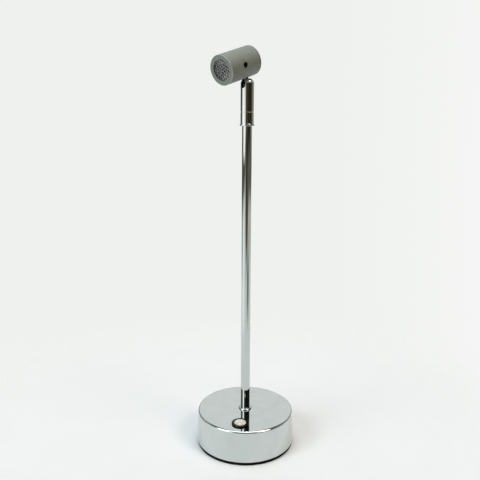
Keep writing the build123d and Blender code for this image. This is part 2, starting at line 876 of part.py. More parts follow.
pieces = [
    base_pad, base_shell, bottom_plate, ballast_disc, plate_screws, pillars,
    battery_holder, battery_cell, battery_contacts,
    control_board, board_spacers, board_screws, board_parts, cell_wires, switch_wires, socket_wires,
    charging_socket, socket_pin, socket_nut, socket_tags,
    switch_gasket, switch_barrel, switch_nut, switch_plug, switch_tags, button_cap, button_spring,
    pole_tube, pole_collar, pole_washer, pole_nut, pole_leads,
    joint_sleeve, joint_cap, joint_screw, pressure_cup, joint_spring, ball_stem,
    head_housing, rear_cap, heat_slug, side_screw, led_board, led_screws, led_emitter,
    lens_holder, lens, head_leads,
]

os.makedirs("parts", exist_ok=True)
for piece in pieces:
    shape = piece()
    if isinstance(shape, list):
        shape = Compound(children=shape)
    export_step(shape, f"parts/{piece.__name__}.step")
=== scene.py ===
import math

import bmesh
import bpy
from mathutils import Matrix, Vector


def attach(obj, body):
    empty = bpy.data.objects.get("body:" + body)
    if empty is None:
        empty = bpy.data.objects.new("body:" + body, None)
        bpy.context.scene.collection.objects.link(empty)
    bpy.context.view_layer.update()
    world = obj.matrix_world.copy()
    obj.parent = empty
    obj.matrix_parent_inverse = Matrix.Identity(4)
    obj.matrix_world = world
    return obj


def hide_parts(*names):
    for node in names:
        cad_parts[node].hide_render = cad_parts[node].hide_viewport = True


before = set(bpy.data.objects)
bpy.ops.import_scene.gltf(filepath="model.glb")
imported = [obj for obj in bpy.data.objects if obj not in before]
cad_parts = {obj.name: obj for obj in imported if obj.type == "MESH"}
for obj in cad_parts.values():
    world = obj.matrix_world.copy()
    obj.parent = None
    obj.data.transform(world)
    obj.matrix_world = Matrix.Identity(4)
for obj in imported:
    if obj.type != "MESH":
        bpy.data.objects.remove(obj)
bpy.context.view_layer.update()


# ---------------------------------------------------------------------------------------------------
# Foot pad. A disc of black moulded rubber, 3.5 mm thick, glued under the drum so that it stays put on
# a shelf. Its lower edge is chamfered, and a little amber glue has squeezed out at one place.
# ---------------------------------------------------------------------------------------------------

MM = 0.001
PAD_RADIUS, PAD_TOP = 50.8, 3.5
PAD_CHAMFER, PAD_LOWER_EDGE, PAD_UPPER_EDGE = 0.4, 0.1, 0.15
GLUE_ANGLE = -30.5  # degrees from +X
GLUE_RADIUS, GLUE_FLATNESS = 0.55, 0.6
GLUE_SUNK, GLUE_HEIGHT = 0.2, 2.9  # into the pad's side, and above the table

MIX_A, MIX_B, MIX_COLOUR = 6, 7, 2  # a Mix node's sockets when it mixes colours
ON_AXIS = 1e-6  # a point nearer the axis than this lies on it
CREASE = 32  # degrees; a sharper edge stays sharp
ROUND_STEPS = 10
SUPPORT = 0.03  # keeps the shading of a rounding off the flat beside it


def linear(code):
    """An sRGB hex code as the linear colour that a shader takes."""
    parts = [int(code[i:i + 2], 16) / 255 for i in (1, 3, 5)]
    return tuple(c / 12.92 if c <= 0.04045 else ((c + 0.055) / 1.055) ** 2.4 for c in parts) + (1.0,)


def add(tree, kind, settings=None, values=None, links=None):
    """One node with its settings, the values of its sockets and what is plugged into them."""
    made = tree.nodes.new(kind)
    for key, value in (settings or {}).items():
        setattr(made, key, value)
    for key, value in (values or {}).items():
        made.inputs[key].default_value = value
    for key, source in (links or {}).items():
        tree.links.new(source, made.inputs[key])
    return made


def new_material(name, **sockets):
    """A material with one Principled shader: the material, its nodes, the shader and its coordinates."""
    made = bpy.data.materials.new(name)
    made.use_nodes = True
    tree = made.node_tree
    tree.nodes.clear()
    values = {key.replace("_", " "): value for key, value in sockets.items()}
    shader = add(tree, "ShaderNodeBsdfPrincipled", values=values)
    add(tree, "ShaderNodeOutputMaterial", links={"Surface": shader.outputs[0]})
    return made, tree, shader, add(tree, "ShaderNodeTexCoord").outputs["Object"]


def speckle(tree, coords, size_mm, detail=2.0, stretch=(1, 1, 1)):
    """Noise whose grains are about this many millimetres across; 0.5 in the middle."""
    place = add(tree, "ShaderNodeMapping", values={"Scale": stretch}, links={"Vector": coords})
    values = {"Scale": 1 / (size_mm * MM), "Detail": detail, "Roughness": 0.55}
    return add(tree, "ShaderNodeTexNoise", values=values, links={"Vector": place.outputs[0]}).outputs[0]


def between(tree, factor, low, high, span=(0.3, 0.7)):
    """A number from low to high as the factor crosses its span."""
    values = {"From Min": span[0], "From Max": span[1], "To Min": low, "To Max": high}
    return add(tree, "ShaderNodeMapRange", values=values, links={"Value": factor}).outputs[0]


def tint(tree, factor, first, second, span=(0.3, 0.7)):
    """A colour from the first hex code to the second as the factor crosses its span."""
    amount = between(tree, factor, 0.0, 1.0, span)
    values = {MIX_A: linear(first), MIX_B: linear(second)}
    mix = add(tree, "ShaderNodeMix", {"data_type": "RGBA"}, values, {"Factor": amount})
    return mix.outputs[MIX_COLOUR]


def relief(tree, height, depth_mm):
    """Normals of a relief this many millimetres deep."""
    bump = add(tree, "ShaderNodeBump", values={"Distance": depth_mm * MM}, links={"Height": height})
    return bump.outputs[0]


def about(axis, degrees):
    """A turn by this many degrees about an axis."""
    return Matrix.Rotation(math.radians(degrees), 4, axis)


def rounded(outline, closed):
    """Outline of (radius, height[, rounding]) points with its rounded corners drawn as arcs."""
    points = []
    count = len(outline)
    for i, corner in enumerate(outline):
        here = Vector(corner[:2])
        size = corner[2] if len(corner) > 2 else 0
        if not size or (not closed and i in (0, count - 1)):
            points.append(here)
            continue
        back = (Vector(outline[i - 1][:2]) - here).normalized()
        ahead = (Vector(outline[(i + 1) % count][:2]) - here).normalized()
        half = back.angle(ahead) / 2
        reach = size / math.tan(half)
        centre = here + (back + ahead).normalized() * (size / math.sin(half))
        first, last = here + back * reach - centre, here + ahead * reach - centre
        points.append(here + back * (reach + SUPPORT))
        for step in range(ROUND_STEPS + 1):
            points.append(centre + first.slerp(last, step / ROUND_STEPS) * size)
        points.append(here + ahead * (reach + SUPPORT))
    return points


def turned(name, outline, place=Matrix.Identity(4), steps=192, closed=False):
    """A body of revolution in millimetres about Z, moved to its place in metres."""
    work = bmesh.new()
    rings = []
    for radius, height in rounded(outline, closed):
        if radius < ON_AXIS:
            rings.append([work.verts.new((0, 0, height))] * steps)
            continue
        turns = [2 * math.pi * k / steps for k in range(steps)]
        rings.append([work.verts.new((radius * math.cos(t), radius * math.sin(t), height)) for t in turns])
    pairs = list(zip(rings, rings[1:])) + ([(rings[-1], rings[0])] if closed else [])
    for low, high in pairs:
        for k in range(steps):
            corners = (low[k], low[(k + 1) % steps], high[(k + 1) % steps], high[k])
            corners = list(dict.fromkeys(corners))
            if len(corners) > 2:
                work.faces.new(corners)
    bmesh.ops.recalc_face_normals(work, faces=work.faces)
    return made_object(name, work, place @ Matrix.Scale(MM, 4))


def smoothed(mesh):
    """Shades a mesh smooth but for its sharp edges."""
    mesh.shade_smooth()
    mesh.set_sharp_from_angle(angle=math.radians(CREASE))


def made_object(name, work, place):
    """A mesh object at the origin from bmesh work, with its place in its mesh."""
    mesh = bpy.data.meshes.new(name)
    work.to_mesh(mesh)
    work.free()
    mesh.transform(place)
    smoothed(mesh)
    made = bpy.data.objects.new(name, mesh)
    bpy.context.scene.collection.objects.link(made)
    return made


def fitted(made, material, body, slot, *nodes):
    """The piece gets its material, rides on its body and stands for its CAD nodes."""
    made.data.materials.clear()
    made.data.materials.append(material)
    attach(made, body)
    if nodes:
        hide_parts(*nodes)


# Moulded rubber: dull, nearly black, with a fine even grain that greys it where it catches the light.
rubber, tree, shader, coords = new_material("Rubber_black_moulded", Roughness=0.62, Specular_IOR_Level=0.06)
grain = speckle(tree, coords, 0.5, 4)
tree.links.new(tint(tree, grain, "#030303", "#0A0A0A"), shader.inputs["Base Color"])
tree.links.new(between(tree, grain, 0.5, 0.72), shader.inputs["Roughness"])
tree.links.new(relief(tree, grain, 0.04), shader.inputs["Normal"])

pad_outline = [
    (0, 0),
    (PAD_RADIUS - PAD_CHAMFER, 0, PAD_LOWER_EDGE),
    (PAD_RADIUS, PAD_CHAMFER, PAD_LOWER_EDGE),
    (PAD_RADIUS, PAD_TOP, PAD_UPPER_EDGE),
    (0, PAD_TOP),
]
fitted(turned("Foot_pad", pad_outline), rubber, "base", "black_rubber", "base_pad")

# Amber hot glue: clear, yellow-brown, glossy and slightly uneven.
glue, tree, shader, coords = new_material("Hot_glue_amber", Roughness=0.25, Coat_Weight=0.4)
tree.links.new(tint(tree, speckle(tree, coords, 0.4), "#7A5420", "#B98A45"), shader.inputs["Base Color"])
work = bmesh.new()
bmesh.ops.create_uvsphere(work, u_segments=16, v_segments=10, radius=GLUE_RADIUS)
glue_place = Matrix.Scale(MM, 4) @ about("Z", GLUE_ANGLE)
glue_place = glue_place @ Matrix.Translation((PAD_RADIUS - GLUE_SUNK, 0, GLUE_HEIGHT))
bead = made_object("Glue_bead", work, glue_place @ Matrix.Diagonal((GLUE_FLATNESS, 1.0, 1.0, 1)))
fitted(bead, glue, "base", "black_rubber")


# ---------------------------------------------------------------------------------------------------
# Drum shell. A cup deep-drawn from 1 mm steel with a slightly flared wall and a rounded corner, then
# polished and chromium plated to a mirror. Holes for the pole, the switch and the charging socket.
# ---------------------------------------------------------------------------------------------------

TOP, ROOF, LIP = 36.5, 1.2, 3.5
SHELL_TOP_RADIUS, SHELL_LIP_RADIUS, SHELL_WALL = 50.0, 51.38, 1.0
SHELL_CORNER, SHELL_INNER_CORNER, LIP_OUTER_EDGE, LIP_INNER_EDGE = 2.0, 1.0, 0.25, 0.1
SHELL_DRAFT = 0.05  # how much the wall thins towards the roof
SHELL_STEPS = 288
SWITCH_AT = (19.031, -27.691)
SOCKET_HEIGHT, SOCKET_SEAT = 20.0, 50.3  # its axis above the table, and its flat from the drum's middle
POLE_HOLE, SWITCH_HOLE, SOCKET_HOLE, SOCKET_FLAT = 4.85, 8.05, 4.05, 5.6  # radii
ROOF_DRILL = (TOP - 3, TOP + 3)
SOCKET_DRILL = (30, 60)


def chrome(name, dull, clear, haze=0.02, smear=0.05):
    """Bright chromium plate on polished metal: a cool mirror, a little hazy where it has been wiped."""
    made, tree, shader, coords = new_material(name, Metallic=1.0, Roughness=haze)
    wiped = speckle(tree, coords, 14, detail=3, stretch=(1, 1, 0.5))
    tree.links.new(tint(tree, wiped, dull, clear), shader.inputs["Base Color"])
    tree.links.new(between(tree, wiped, haze, smear, (0.26, 0.5)), shader.inputs["Roughness"])
    tree.links.new(relief(tree, speckle(tree, coords, 9, detail=1), 0.004), shader.inputs["Normal"])
    return made


def drill(name, radius, low, high, place=Matrix.Identity(4), edge=None):
    """A round bar in millimetres about Z that cuts a hole; edge is the height of a broken corner."""
    outline = [(0, low), (radius, low), (radius, high), (0, high)]
    if edge:
        outline = [(0, low), (radius, low), (radius, edge), (radius + high - edge, high), (0, high)]
    return turned(name, outline, place, steps=96)


def cut(made, tools):
    """Cuts the tools out of the object."""
    for tool in tools:
        step = made.modifiers.new("cut", "BOOLEAN")
        step.object, step.operation, step.solver = tool, "DIFFERENCE", "EXACT"
    bpy.context.view_layer.update()
    deps = bpy.context.evaluated_depsgraph_get()
    mesh = bpy.data.meshes.new_from_object(made.evaluated_get(deps))
    made.modifiers.clear()
    made.data = mesh
    smoothed(mesh)
    for tool in tools:
        bpy.data.objects.remove(tool)


def at(x, y, z=0.0):
    """A place given in millimetres."""
    return Matrix.Translation((x * MM, y * MM, z * MM))


drum_chrome = chrome("Chrome_plate_on_drawn_steel", "#CACFCE", "#D0D6D5")
shell_outline = [
    (0, TOP),
    (SHELL_TOP_RADIUS, TOP, SHELL_CORNER),
    (SHELL_LIP_RADIUS, LIP, LIP_OUTER_EDGE),
    (SHELL_LIP_RADIUS - SHELL_WALL, LIP, LIP_INNER_EDGE),
    (SHELL_TOP_RADIUS - SHELL_WALL + SHELL_DRAFT, TOP - ROOF, SHELL_INNER_CORNER),
    (0, TOP - ROOF),
]
shell = turned("Drum_shell", shell_outline, steps=SHELL_STEPS)
switch_place = at(*SWITCH_AT)
rearward = at(0, 0, SOCKET_HEIGHT) @ about("X", -90)
cut(shell, [
    drill("pole_hole", POLE_HOLE, *ROOF_DRILL),
    drill("switch_hole", SWITCH_HOLE, *ROOF_DRILL, switch_place),
    drill("socket_hole", SOCKET_HOLE, *SOCKET_DRILL, rearward),
    drill("socket_seat", SOCKET_FLAT, SOCKET_SEAT, SOCKET_DRILL[1], rearward),
])
fitted(shell, drum_chrome, "base", "chromed_steel", "base_shell")


# ---------------------------------------------------------------------------------------------------
# Inside the drum. A steel plate closes it below, held by countersunk screws in hexagonal pillars, and
# carries a cast ballast disc. The cell sits in a black tray, and a small board on nylon spacers.
# ---------------------------------------------------------------------------------------------------


def plain(name, first, second, grain_mm, depth_mm, **sockets):
    """A material whose colour and relief both vary with one grain."""
    made, tree, shader, coords = new_material(name, **sockets)
    grain = speckle(tree, coords, grain_mm, 3)
    tree.links.new(tint(tree, grain, first, second), shader.inputs["Base Color"])
    tree.links.new(relief(tree, grain, depth_mm), shader.inputs["Normal"])
    return made


def dressed(material, *nodes):
    """CAD nodes that keep their own shape get a material."""
    for node in nodes:
        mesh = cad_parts[node].data
        mesh.materials.clear()
        mesh.materials.append(material)


# Zinc plate on steel: bright, faintly blue and softly mottled.
zinc = plain("Zinc_plated_steel", "#A4A9AD", "#B9BEC2", 2.5, 0.01, Metallic=1.0, Roughness=0.3)
dressed(zinc, "bottom_plate", "plate_screws", "pillars", "board_screws", "battery_contacts")
# Grey primer on cast iron: dull and pitted.
cast = plain("Cast_iron_primed", "#4A4B4C", "#5E5F60", 1.2, 0.12, Roughness=0.7)
dressed(cast, "ballast_disc")
# Moulded ABS: black with a low, even sheen.
black_abs = plain("ABS_black_moulded", "#101011", "#191A1B", 0.8, 0.02, Roughness=0.45)
dressed(black_abs, "battery_holder", "board_parts")
# Shrink sleeve of the cell: strong blue with a smooth shine.
sleeve_blue = plain("PVC_shrink_sleeve_blue", "#1A4A9C", "#2458B0", 6.0, 0.02, Roughness=0.28)
dressed(sleeve_blue, "battery_cell")
# Solder mask: deep green under a thin clear gloss.
green_mask = plain("Solder_mask_green", "#0F4425", "#16552F", 1.5, 0.02, Roughness=0.35, Coat_Weight=0.3)
dressed(green_mask, "control_board")
# Nylon: milky white and waxy.
nylon = plain("Nylon_white_moulded", "#D9D8D2", "#E6E5E0", 1.0, 0.01, Roughness=0.4)
dressed(nylon, "board_spacers")
# Wire insulation: plain red with a soft shine.
wire_red = plain("PVC_insulation_red", "#8E1B14", "#A3251C", 1.0, 0.01, Roughness=0.4)
dressed(wire_red, "cell_wires")


# ---------------------------------------------------------------------------------------------------
# Charging socket. A black moulded barrel socket with a tinned pin, in a flat pressed into the rear of
# the drum and held by a nut inside.
# ---------------------------------------------------------------------------------------------------

# Along the socket's own axis, from the drum's middle.
SOCKET_INNER, SOCKET_FLOOR, SOCKET_FACE, PIN_FOOT, PIN_END = 35.3, 41.9, 51.2, 42.2, 50.2
SOCKET_BORE, SOCKET_BARREL, SOCKET_FLANGE, PIN_RADIUS = 2.85, 3.95, 5.5, 1.05
SOCKET_MOUTH_EDGE, SOCKET_RIM_EDGE, PIN_NOSE = 0.25, 0.3, 0.4

socket_outline = [
    (0, SOCKET_FLOOR),
    (SOCKET_BORE, SOCKET_FLOOR),
    (SOCKET_BORE, SOCKET_FACE, SOCKET_MOUTH_EDGE),
    (SOCKET_FLANGE, SOCKET_FACE, SOCKET_RIM_EDGE),
    (SOCKET_FLANGE, SOCKET_SEAT),
    (SOCKET_BARREL, SOCKET_SEAT),
    (SOCKET_BARREL, SOCKET_INNER),
    (0, SOCKET_INNER),
]
socket = turned("Charging_socket", socket_outline, rearward, steps=96)
fitted(socket, black_abs, "base", "black_plastic", "charging_socket")

# Tinned brass: pale gold with a satin shine.
tinned = plain("Brass_tinned", "#B7A878", "#CABD92", 1.0, 0.005, Metallic=1.0, Roughness=0.28)
pin_outline = [(0, PIN_FOOT), (PIN_RADIUS, PIN_FOOT), (PIN_RADIUS, PIN_END, PIN_NOSE), (0, PIN_END)]
fitted(turned("Socket_pin", pin_outline, rearward, steps=48), tinned, "base", "tinned_brass", "socket_pin")
dressed(tinned, "socket_nut", "socket_tags")
dressed(wire_red, "socket_wires")


# ---------------------------------------------------------------------------------------------------
# Push switch. A gloss black barrel through the drum's top on a thin rubber gasket, with a low rounded
# bezel, and an ivory cap that a coil spring pushes up.
# ---------------------------------------------------------------------------------------------------

BEZEL_TOP, BEZEL_SEAT, PLUG_TOP, BARREL_BOTTOM = 37.9, 36.9, 24.5, 19.5
BEZEL_RADIUS, BARREL_RADIUS, BARREL_BORE = 8.8, 7.95, 6.0
BEZEL_INNER_EDGE, BEZEL_OUTER_EDGE, BEZEL_SEAT_EDGE = 0.35, 0.45, 0.1
BUTTON_TOP, BUTTON_SKIRT, BUTTON_STEM_END = 38.1, 33.1, 28.6
BUTTON_RADIUS, BUTTON_STEM, BUTTON_EDGE = 5.9, 3.0, 0.3

# Gloss black moulding: deep black with a clean shine and very slight sink marks.
gloss_black = plain(
    "ABS_black_polished", "#050606", "#0B0C0D", 5.0, 0.01, Roughness=0.18, Specular_IOR_Level=0.25)
bezel_outline = [
    (BARREL_BORE, PLUG_TOP),
    (BARREL_BORE, BEZEL_TOP, BEZEL_INNER_EDGE),
    (BEZEL_RADIUS, BEZEL_TOP, BEZEL_OUTER_EDGE),
    (BEZEL_RADIUS, BEZEL_SEAT, BEZEL_SEAT_EDGE),
    (BARREL_RADIUS, BEZEL_SEAT),
    (BARREL_RADIUS, BARREL_BOTTOM),
    (BARREL_BORE, BARREL_BOTTOM),
]
bezel = turned("Switch_barrel", bezel_outline, switch_place, steps=128, closed=True)
fitted(bezel, gloss_black, "base", "black_bezel", "switch_barrel")
dressed(gloss_black, "switch_nut")
dressed(black_abs, "switch_plug")
dressed(rubber, "switch_gasket")
dressed(tinned, "switch_tags")
dressed(wire_red, "switch_wires")

# Ivory cap: polished translucent resin, warm white with faint cloudy mottling under the gloss.
ivory, tree, shader, coords = new_material(
    "Resin_ivory_polished", Roughness=0.16, Coat_Weight=0.6, Subsurface_Weight=0.15,
    Subsurface_Radius=(0.001, 0.0008, 0.0005))
tree.links.new(tint(tree, speckle(tree, coords, 2.2, 3), "#B9B7A6", "#F0EDDD"), shader.inputs["Base Color"])
cap_outline = [
    (0, BUTTON_STEM_END),
    (BUTTON_STEM, BUTTON_STEM_END),
    (BUTTON_STEM, BUTTON_SKIRT),
    (BUTTON_RADIUS, BUTTON_SKIRT),
    (BUTTON_RADIUS, BUTTON_TOP, BUTTON_EDGE),
    (0, BUTTON_TOP),
]
button = turned("Button_cap", cap_outline, switch_place, steps=96)
fitted(button, ivory, "button", "ivory_plastic", "button_cap")

# Drawn spring steel: mid grey metal with a soft shine.
spring_wire = plain("Spring_steel_drawn", "#7E8184", "#989B9E", 0.6, 0.004, Metallic=1.0, Roughness=0.32)
dressed(spring_wire, "button_spring")


# ---------------------------------------------------------------------------------------------------
# Pole. A 9.5 mm steel tube, chromium plated, that stands in the drum behind a turned collar and is
# held by a washer and nut inside.
# ---------------------------------------------------------------------------------------------------

POLE_RADIUS, POLE_BORE, POLE_FOOT, POLE_TOP = 4.75, 3.75, 24.5, 343.7
COLLAR_BORE, COLLAR_RADIUS, COLLAR_TOP = 4.8, 6.8, 38.0
COLLAR_LOWER_EDGE, COLLAR_SHOULDER, COLLAR_INNER_EDGE = 0.1, 1.15, 0.25

tube_chrome = chrome("Chrome_plate_on_tube", "#C0C6C4", "#CACFCD")
pole_outline = [
    (POLE_BORE, POLE_FOOT),
    (POLE_RADIUS, POLE_FOOT),
    (POLE_RADIUS, POLE_TOP),
    (POLE_BORE, POLE_TOP),
]
pole = turned("Pole_tube", pole_outline, steps=128, closed=True)
fitted(pole, tube_chrome, "base", "chromed_steel", "pole_tube")
collar_outline = [
    (COLLAR_BORE, TOP),
    (COLLAR_RADIUS, TOP, COLLAR_LOWER_EDGE),
    (COLLAR_RADIUS, COLLAR_TOP, COLLAR_SHOULDER),
    (COLLAR_BORE, COLLAR_TOP, COLLAR_INNER_EDGE),
]
collar = turned("Pole_collar", collar_outline, steps=128, closed=True)
fitted(collar, tube_chrome, "base", "chromed_steel", "pole_collar")
dressed(zinc, "pole_washer", "pole_nut")
dressed(wire_red, "pole_leads")


# ---------------------------------------------------------------------------------------------------
# Ball joint. A flanged sleeve on the pole's end, and above a thin seam the round-shouldered cap that
# turns on it, both turned from steel and chromium plated. The neck leaves through the cap's mouth,
# and a slot in front lets it drop. Inside, a spring and a brass cup press on the ball.
# ---------------------------------------------------------------------------------------------------

FLANGE, SEAM, SPIGOT_TOP = 333.7, 346.7, 359.1
FLANGE_RADIUS, FLANGE_THICKNESS, FLANGE_EDGE, FLANGE_ROOT = 7.0, 2.0, 0.5, 0.15
JOINT_RADIUS, SEAM_EDGE = 6.35, 0.2
SLEEVE_SOCKET, SPIGOT_RADIUS, SPIGOT_EDGE, SLEEVE_BORE = 4.8, 4.9, 0.2, 2.8
CAP_BOTTOM, CAP_TOP, BALL_AT = 346.85, 378.45, 371.45
JOINT_BORE, MOUTH, MOUTH_RISE, SHOULDER = 4.96, 3.9, 3.07, 5.0
BOWL_STEP, BOWL_POINTS = 0.1, 7  # the bowl over the ball, in radians
SLOT_HALF, SLOT_REACH = 2.6, 12.0
JOINT_SCREW_RISE, JOINT_SCREW_HOLE, JOINT_SCREW_DRILL = 7.0, 1.05, (3, 9)
ARC_STEPS = 24


def arc(radius, height, size, turns):
    """Points on a circle round (radius, height), at these turns in radians."""
    return [(radius + size * math.cos(t), height + size * math.sin(t)) for t in turns]


sleeve_outline = [
    (SLEEVE_SOCKET, FLANGE),
    (FLANGE_RADIUS, FLANGE, FLANGE_EDGE),
    (FLANGE_RADIUS, FLANGE + FLANGE_THICKNESS, FLANGE_EDGE),
    (JOINT_RADIUS, FLANGE + FLANGE_THICKNESS, FLANGE_ROOT),
    (JOINT_RADIUS, SEAM, SEAM_EDGE),
    (SPIGOT_RADIUS, SEAM),
    (SPIGOT_RADIUS, SPIGOT_TOP, SPIGOT_EDGE),
    (SLEEVE_BORE, SPIGOT_TOP),
    (SLEEVE_BORE, POLE_TOP),
    (SLEEVE_SOCKET, POLE_TOP),
]
sleeve = turned("Joint_sleeve", sleeve_outline, steps=128, closed=True)
fitted(sleeve, tube_chrome, "base", "chromed_steel", "joint_sleeve")

bowl = arc(0, BALL_AT, JOINT_BORE, [BOWL_STEP * k for k in range(BOWL_POINTS)])
dome_turn = math.acos((MOUTH - JOINT_RADIUS + SHOULDER) / SHOULDER)
dome_turns = [dome_turn * (1 - k / ARC_STEPS) for k in range(ARC_STEPS + 1)]
dome = arc(JOINT_RADIUS - SHOULDER, CAP_TOP - SHOULDER, SHOULDER, dome_turns)
knuckle_outline = [(JOINT_BORE, CAP_BOTTOM)] + bowl + [(MOUTH, BALL_AT + MOUTH_RISE)] + dome
knuckle_outline += [(JOINT_RADIUS, CAP_BOTTOM, SEAM_EDGE)]
knuckle = turned("Joint_cap", knuckle_outline, steps=128, closed=True)

# The cutter of the drop slot: round below, and open to the front and the top.
work = bmesh.new()
slot_turns = [math.pi * (1 + k / ARC_STEPS) for k in range(ARC_STEPS + 1)]
profile = [(SLOT_HALF, SLOT_REACH), (-SLOT_HALF, SLOT_REACH)] + arc(0, 0, SLOT_HALF, slot_turns)
front = [work.verts.new((x, -SLOT_REACH, BALL_AT + z)) for x, z in profile]
back = [work.verts.new((x, 0, BALL_AT + z)) for x, z in profile]
work.faces.new(front)
work.faces.new(back)
for k in range(len(profile)):
    n = (k + 1) % len(profile)
    work.faces.new((front[k], front[n], back[n], back[k]))
bmesh.ops.recalc_face_normals(work, faces=work.faces)
slot_tool = made_object("slot_tool", work, Matrix.Scale(MM, 4))
screw_place = at(0, 0, SEAM + JOINT_SCREW_RISE) @ about("X", -90)
cut(knuckle, [slot_tool, drill("screw_hole", JOINT_SCREW_HOLE, *JOINT_SCREW_DRILL, screw_place)])
fitted(knuckle, tube_chrome, "joint", "chromed_steel", "joint_cap")

# Black oxide on steel: almost black, with a dull metallic sheen.
black_oxide = plain("Steel_black_oxide", "#121212", "#1E1D1C", 0.6, 0.01, Metallic=0.6, Roughness=0.42)
dressed(black_oxide, "joint_screw")
dressed(tinned, "pressure_cup")
dressed(spring_wire, "joint_spring")


# ---------------------------------------------------------------------------------------------------
# Ball and neck. One chromed turning: the ball in the joint, and the thin neck that screws into the
# head and is bored for the leads.
# ---------------------------------------------------------------------------------------------------

TILT = 16.0  # degrees that the head looks below level at rest
BALL_RADIUS, NECK_RADIUS, NECK_BORE, NECK_TIP, NECK_EDGE = 4.9, 2.3, 1.45, 14.15, 0.2
BALL_STEPS = 40

neck_place = at(0, 0, BALL_AT) @ about("X", TILT)
low_turn = math.asin(-math.cos(math.asin(NECK_BORE / BALL_RADIUS)))
high_turn = math.acos(NECK_RADIUS / BALL_RADIUS)
ball_turns = [low_turn + (high_turn - low_turn) * k / BALL_STEPS for k in range(BALL_STEPS + 1)]
stem_outline = arc(0, 0, BALL_RADIUS, ball_turns)
stem_outline += [(NECK_RADIUS, NECK_TIP, NECK_EDGE), (NECK_BORE, NECK_TIP)]
# Chrome plate made nearly black as painted shade, so the slot reads as a dark opening.
ball_chrome_painted_shade = chrome("Chrome_plate_darkened_as_slot_shade", "#343536", "#424344", 0.06, 0.12)
stem = turned("Ball_stem", stem_outline, neck_place, steps=96, closed=True)
fitted(stem, ball_chrome_painted_shade, "head", "chromed_steel", "ball_stem")


# ---------------------------------------------------------------------------------------------------
# Head. A 28 mm aluminium tube turned with a thin lip in front, blasted and anodised satin grey, and a
# pressed-in rear cap of the same finish. A recessed black grub screw in its side holds the slug.
# ---------------------------------------------------------------------------------------------------

HEAD_RISE = 21.3  # from the ball's centre to the head's axis
HEAD_RADIUS, HEAD_BORE, HEAD_FRONT, HEAD_REAR = 13.96, 12.2, 30.0, -10.0
LENS_FRONT, APERTURE, APERTURE_EDGE, HEAD_EDGE = 29.0, 9.8, 0.2, 0.45
# The bare edge below is a painted highlight: a thin lighter, more metallic band round the front edge.
EDGE_BLUR = 0.00005  # half the width over which the bare edge fades, in metres
REAR_THICKNESS, REAR_EDGE, REAR_SEAM, REAR_SPIGOT_RADIUS, REAR_SPIGOT = 1.4, 0.6, 0.12, 12.15, 2.0
SIDE_HOLE_AT, SIDE_HOLE, SIDE_HOLE_EDGE, SIDE_HOLE_DRILL = 11.4, 2.75, 13.6, (8, 15)
STEM_HOLE, STEM_HOLE_DRILL = 2.35, (5, 16)

head_place = neck_place @ at(0, 0, HEAD_RISE) @ about("X", 90)
side_place = head_place @ at(0, 0, SIDE_HOLE_AT) @ about("Y", 90)


def along_head(tree, coords):
    """Coordinates with the head's axis as Z and its front ahead."""
    values = {"Location": head_place.translation, "Rotation": head_place.to_euler()}
    return add(tree, "ShaderNodeMapping", {"vector_type": "TEXTURE"}, values, {"Vector": coords}).outputs[0]


def out_and_along(tree, where):
    """Distances out from the Z axis and along it."""
    flat = add(tree, "ShaderNodeVectorMath", {"operation": "MULTIPLY"}, {1: (1, 1, 0)}, {0: where})
    out = add(tree, "ShaderNodeVectorMath", {"operation": "LENGTH"}, links={0: flat.outputs[0]})
    return out.outputs["Value"], add(tree, "ShaderNodeSeparateXYZ", links={0: where}).outputs["Z"]


# Satin grey finish on blasted aluminium: an even grey that scatters nearly all its shine. A hairline round
# the front
# # edge is a painted highlight: a lighter, more metallic colour where the edge catches the light.
satin, tree, shader, coords = new_material("Aluminium_satin_grey", Roughness=0.55)
cloud = speckle(tree, coords, 6, 2)
beads = speckle(tree, coords, 0.35, 2)
out, along = out_and_along(tree, along_head(tree, coords))
corner = add(tree, "ShaderNodeMath", {"operation": "ADD"}, links={0: out, 1: along}).outputs[0]
# Painted highlight: a thin band round the front edge gets a lighter colour and more metal.
edge_at = (HEAD_RADIUS + HEAD_FRONT - HEAD_EDGE) * MM
painted_rim_highlight = between(tree, corner, 0.0, 1.0, (edge_at - EDGE_BLUR, edge_at + EDGE_BLUR))
links = {"Factor": painted_rim_highlight, MIX_A: tint(tree, cloud, "#8A9189", "#929991")}
finish = add(tree, "ShaderNodeMix", {"data_type": "RGBA"}, {MIX_B: linear("#A8ACA6")}, links)
tree.links.new(finish.outputs[MIX_COLOUR], shader.inputs["Base Color"])
tree.links.new(between(tree, painted_rim_highlight, 0.05, 0.85, (0, 1)), shader.inputs["Metallic"])
tree.links.new(between(tree, beads, 0.5, 0.6), shader.inputs["Roughness"])
tree.links.new(relief(tree, beads, 0.02), shader.inputs["Normal"])

housing_outline = [
    (HEAD_BORE, HEAD_REAR + REAR_THICKNESS),
    (HEAD_BORE, LENS_FRONT),
    (APERTURE, LENS_FRONT),
    (APERTURE, HEAD_FRONT, APERTURE_EDGE),
    (HEAD_RADIUS, HEAD_FRONT, HEAD_EDGE),
    (HEAD_RADIUS, HEAD_REAR + REAR_THICKNESS, REAR_SEAM),
]
housing = turned("Head_housing", housing_outline, head_place, closed=True)
cut(housing, [
    drill("side_hole", SIDE_HOLE, *SIDE_HOLE_DRILL, side_place, SIDE_HOLE_EDGE),
    drill("stem_hole", STEM_HOLE, *STEM_HOLE_DRILL, neck_place),
])
fitted(housing, satin, "head", "satin_aluminium", "head_housing")
rear_outline = [
    (0, HEAD_REAR),
    (HEAD_RADIUS, HEAD_REAR, REAR_EDGE),
    (HEAD_RADIUS, HEAD_REAR + REAR_THICKNESS - REAR_SEAM, REAR_SEAM),
    (REAR_SPIGOT_RADIUS, HEAD_REAR + REAR_THICKNESS - REAR_SEAM),
    (REAR_SPIGOT_RADIUS, HEAD_REAR + REAR_THICKNESS + REAR_SPIGOT),
    (0, HEAD_REAR + REAR_THICKNESS + REAR_SPIGOT),
]
fitted(turned("Rear_cap", rear_outline, head_place), satin, "head", "satin_aluminium", "rear_cap")
dressed(black_oxide, "side_screw")


